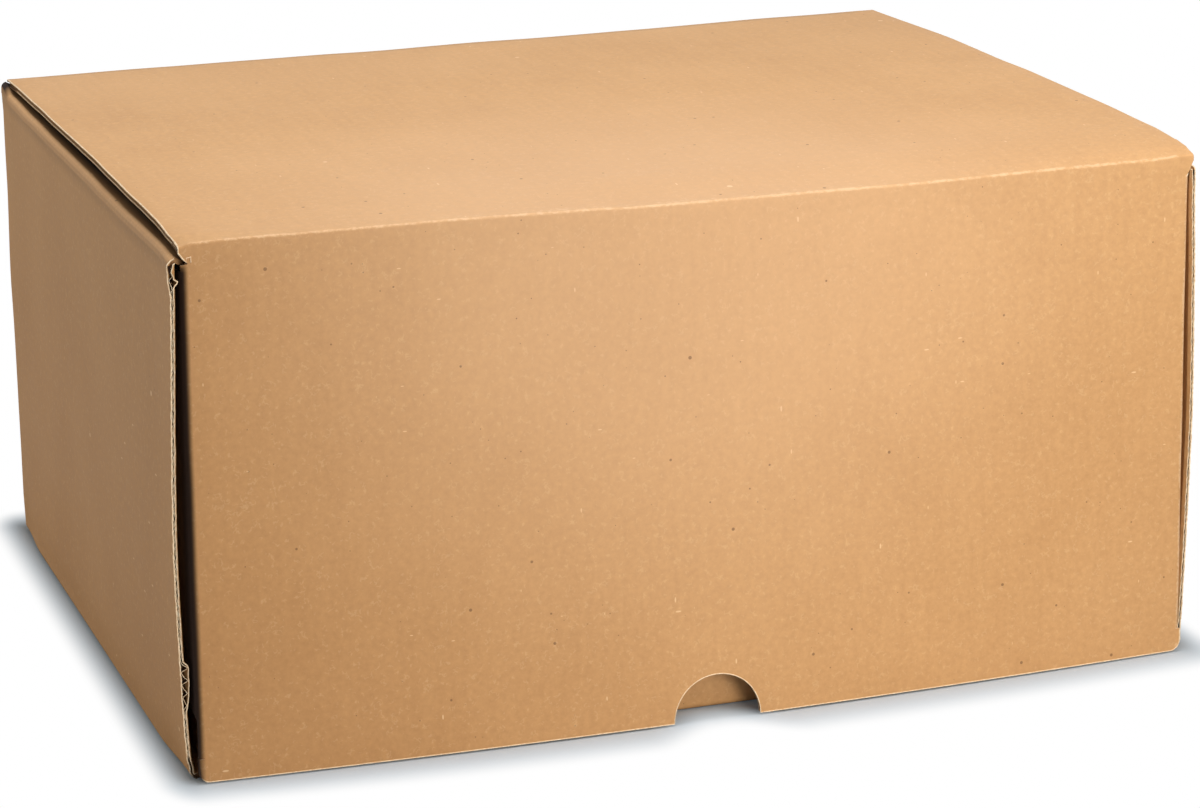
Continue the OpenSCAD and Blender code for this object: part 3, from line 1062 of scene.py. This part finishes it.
# %% Shifts read from the photograph
crease_sag = curve_through(
    (-200, -1.4), (-194, -0.1), (-180, 0.25), (-150, 0.15), (-106, -0.25), (-76, -0.75),
    (-45, -1.15), (-30, -1.85), (0, -2.15), (33, -2.15), (81, -2.65), (147, -2.25), (181, -2.1),
    (194, -1.3), (200, -1.5))
right_rise = curve_through(
    (-158, 0), (-157, 0.2), (-151, 1.6), (-143, 2.05), (-133, 1.85), (-114, 1.65), (-60, 1.75),
    (58, 1.6), (122, 1.2), (159, 1.0))
left_rise = curve_through(
    (-158, 0), (-156, 0), (-149, 0.9), (-135, 1.1), (-110, 0.8), (-75, 0.4), (0, 0))
left_fold = curve_through(
    (0, -2.0), (36, -1.85), (64, -1.6), (92, -1.4), (120, -1.2), (148, -0.85), (176, -0.35),
    (190, 0.1), (200, 0))
left_front = curve_through(
    (0, 0), (4, -0.6), (10, -1.6), (20, -1.75), (93, -1.75), (111, -1.45), (129, -0.85),
    (147, -0.55), (165, -0.2), (183, 0.05), (197, 0))
left_rear = curve_through((0, 0), (50, 1.0), (100, 1.4), (150, 1.0), (185, 0.2), (197, -0.5))
right_front = curve_through(
    (0, 0), (10, -0.6), (27, -0.7), (63, -0.4), (99, -0.1), (147, -0.35), (183, -0.6), (197, -0.3))
right_rear = curve_through((0, 0), (20, -0.4), (100, -0.5), (197, -0.3))


# %% How far each point moves
def lift(co):
    """How far a point of the lid or flap has moved up: the crease's sag and the lid's rise."""
    away = max((co.y - CREASE_Y) / (35 * MM), (CREASE_Z - co.z) / (60 * MM), 0)
    rise = crease_sag(co.x) * (1 - step_up(away, 0, 1))
    if co.z > LID_FLOOR:
        rise += right_rise(co.y) * step_up(co.x, 20 * MM, LID_HALF)
        rise += left_rise(co.y) * step_up(-co.x, 165 * MM, LID_HALF)
    return rise


def box_lift(co):
    """As above for the lid, and the back wall rises with it. The roll-overs of the side walls
    have sunk under the lid, but not at their rear ends."""
    if co.z > LID_FLOOR:
        return lift(co)
    if co.y > 150 * MM and abs(co.x) < 197 * MM:
        return right_rise(co.y) * step_up(co.x, 20 * MM, LID_HALF) \
            * step_up(co.z, 180 * MM, LID_FLOOR)
    top = step_up(co.z, 188 * MM, 195.5 * MM) * step_up(abs(co.x), 186 * MM, 189 * MM)
    shoulder = 0.8 * MM * step_up(co.z, 185 * MM, 195 * MM) \
        * (1 - step_up(co.y, -140 * MM, -60 * MM))
    deep = (2.0 + 1.2 * step_up(co.y, -120 * MM, 60 * MM)) * MM
    sunk = -deep * top * (1 - step_up(abs(co.x), 196.6 * MM, 199.4 * MM)) \
        * (1 - step_up(co.y, 135 * MM, 152 * MM))
    rear = (1 + 2.2 * step_up(abs(co.x), 199.5 * MM, 200.4 * MM)) * MM \
        * step_up(co.z, 190 * MM, 195.5 * MM) * step_up(abs(co.x), 186 * MM, 189 * MM) \
        * step_up(co.y, 144 * MM, 153 * MM)
    return sunk + rear + shoulder * step_up(-co.x, 198 * MM, 200 * MM) \
        * step_up(co.y, -155 * MM, -140 * MM)


def sideways(co):
    """How far a point of the lid or flap has moved to the right: the worn corner at the left
    has, and the flap's left fold goes with the leaning wall."""
    near = step_up(-co.x, 188 * MM, LID_HALF) * (1 - step_up(CREASE_Z - co.z, 0, 6 * MM))
    corner = 0.7 * MM * near * (1 - step_up(co.y - CREASE_Y, 2 * MM, 16 * MM))
    return corner + left_fold(co.z) * step_up(-co.x, 170 * MM, 195 * MM) * (co.z < LID_FLOOR)


def box_sideways(co):
    """As above for the lid; the side walls bulge and lean by their own curves."""
    if co.z > LID_FLOOR:
        return sideways(co)
    front, rear = 1 - step_up(co.y, -130 * MM, 60 * MM), step_up(co.y, -60 * MM, 150 * MM)
    at_front, at_rear = (left_front, left_rear) if co.x < 0 else (right_front, right_rear)
    wall = step_up(abs(co.x), 196 * MM, 199.4 * MM)
    foot = -1.7 * MM * (1 - step_up(co.z, 4 * MM, 34 * MM)) \
        * (1 - step_up(abs(co.y), 115 * MM, 152 * MM))
    return wall * (front * at_front(co.z) + rear * at_rear(co.z) + foot * (co.x < 0))


# %% [markdown]
# ## Painted shade
# The slots under the lid and beside the flap are almost black in the photograph, because light is
# lost between the papers. This darkness is painted shade, a mark that the papers read, and so is
# the dark line along the foot of the walls.

# %% Where shade is painted
def box_painted_shade(co):
    """How much painted shade a point of the box takes: under the lid, behind it, at the foot."""
    if co.z > LID_FLOOR:
        return 0.0
    under_lid = (1 - step_up(abs(co.x), 198.4 * MM, 199.6 * MM)) \
        * step_up(abs(co.x), 187 * MM, 188.5 * MM) * step_up(co.z, 186 * MM, 190 * MM)
    rear_end = step_up(co.y, 146 * MM, 150 * MM) * step_up(co.z, 194.6 * MM, 196 * MM)
    lumps = 0.5 + 0.5 * math.sin(co.y / (9 * MM)) * math.sin(co.y / (23 * MM))
    foot = 0.85 * (1 - step_up(co.z, (0.9 + 0.3 * lumps) * MM, (1.9 + 0.8 * lumps) * MM)) \
        * step_up(abs(co.x), 197 * MM, 200 * MM)
    front_foot = 0.8 * (1 - step_up(co.z, 0.2 * MM, 0.9 * MM)) * (co.y < -150 * MM)
    return max(under_lid, rear_end, foot, front_foot)


def flap_painted_shade(co):
    """Painted shade on the flap's left fold, which lies in the slot beside the wall's edge."""
    return 0.98 * step_up(-co.x, 195.8 * MM, 197.9 * MM) \
        * step_up(CREASE_Z - co.z, 6.5 * MM, 8 * MM) * (1 - step_up(co.y, -153 * MM, -138 * MM))


# %% Mark and push every piece
RIGHT_FOLD_HIGHLIGHT = 197.2 * MM
# Painted shade in the slots, at the foot and on the flap's left fold.
mark(box_board, "deep", box_painted_shade)
mark(flap_board, "deep", flap_painted_shade)
# Painted highlight: a pale line on the lit side of the flap's right fold.
mark(flap_board, "worn", lambda co: step_up(-abs(co.x - RIGHT_FOLD_HIGHLIGHT), -1.0 * MM, -0.3 * MM))
for piece, right, up in ((box_board, box_sideways, box_lift), (flap_board, sideways, lift),
                         (crease_paper, sideways, lift)):
    push(piece, "X", right)
    push(piece, "Z", up)
    warp(piece)
print("handled:", in_mm(box_board.dimensions))

# %% [markdown]
# ## Floor
# The floor is plain and white. Near the box it takes the real shadow, and further away it fades
# to the same white as the room, so that no horizon shows. Close to the foot that white is bluish
# grey, a painted shadow. The distance from the box is measured from its foot, which bows out in
# front, and the white comes closer at the thumb notch, a painted patch of light where light passes
# through.

# %% Floor
FOOT_X, FOOT_Y, FOOT_BOW, NOTCH_BACK = 0.202, 0.168, 0.0095, 0.016
let_go()
bpy.ops.mesh.primitive_plane_add(size=12, location=(0, 0, -0.2 * MM))
floor = bpy.context.object
floor.name = "floor"
white = Finish("white_floor")
floor_x, floor_y, _ = white.parts(white.node("TexCoord", output="Object"))
beyond_x = (abs(floor_x) - FOOT_X).at_least(0) * 1.7
# Painted light: the white glow reaches closer in front of the thumb notch.
painted_notch_light = (1 - abs(floor_x).between(0.002, 0.032)) * (1 - floor_y.between(-0.1, 0.0))
along = floor_x / 0.2
flap_foot = FOOT_Y - FOOT_BOW * along * along - painted_notch_light * NOTCH_BACK
beyond_y = (abs(floor_y) - flap_foot).at_least(0)
away = (beyond_x * beyond_x + beyond_y * beyond_y).root()
fade = away.between(-0.004, 0.028) * white.node("LightPath", output="Is Camera Ray")
# Painted shadow: close to the foot the glow is bluish grey.
painted_shadow_tint = white.mix(away.between(0.0, 0.025), (0.66, 0.76, 0.84, 1), WHITE)
glow = white.node("Emission", None, {"Color": painted_shadow_tint, "Strength": 1.0})
white.surface((0.52, 0.56, 0.6, 1), 1.0, 0.0)
surface = white.node("MixShader", None, {0: fade, 1: Wire(white, white.shader.outputs[0]), 2: glow})
white.tree.links.new(surface.socket, white.tree.nodes["Material Output"].inputs["Surface"])
floor.data.materials.append(white.material)
print("white floor:", len(white.tree.nodes), "nodes")

# %% [markdown]
# ## Put the pieces on their bodies
# Each piece is tied to a body of the CAD part, so that it moves when the joint does. The folded
# board rides on the box and the flap on a body of its own. The strip over the crease belongs to
# both, and bends between them.

# %% Bodies
BOARD_SMOOTH, STRIP_SMOOTH = math.radians(28), math.radians(60)
for piece, body, node in ((box_board, "box", "folded_box"), (flap_board, "flap", "front_flap")):
    take(piece)
    bpy.ops.object.shade_smooth_by_angle(angle=BOARD_SMOOTH)
    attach(piece, body)
    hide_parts(node)
take(crease_paper)
bpy.ops.object.shade_smooth_by_angle(angle=STRIP_SMOOTH)
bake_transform(crease_paper, "box", "flap", start=(0, CREASE_Y + 0.4 * MM, CREASE_Z + ROUND),
         end=(0, CREASE_Y - ROUND, CREASE_Z - 0.4 * MM))
print("on their bodies:", [piece.name for piece in (box_board, flap_board, crease_paper)])
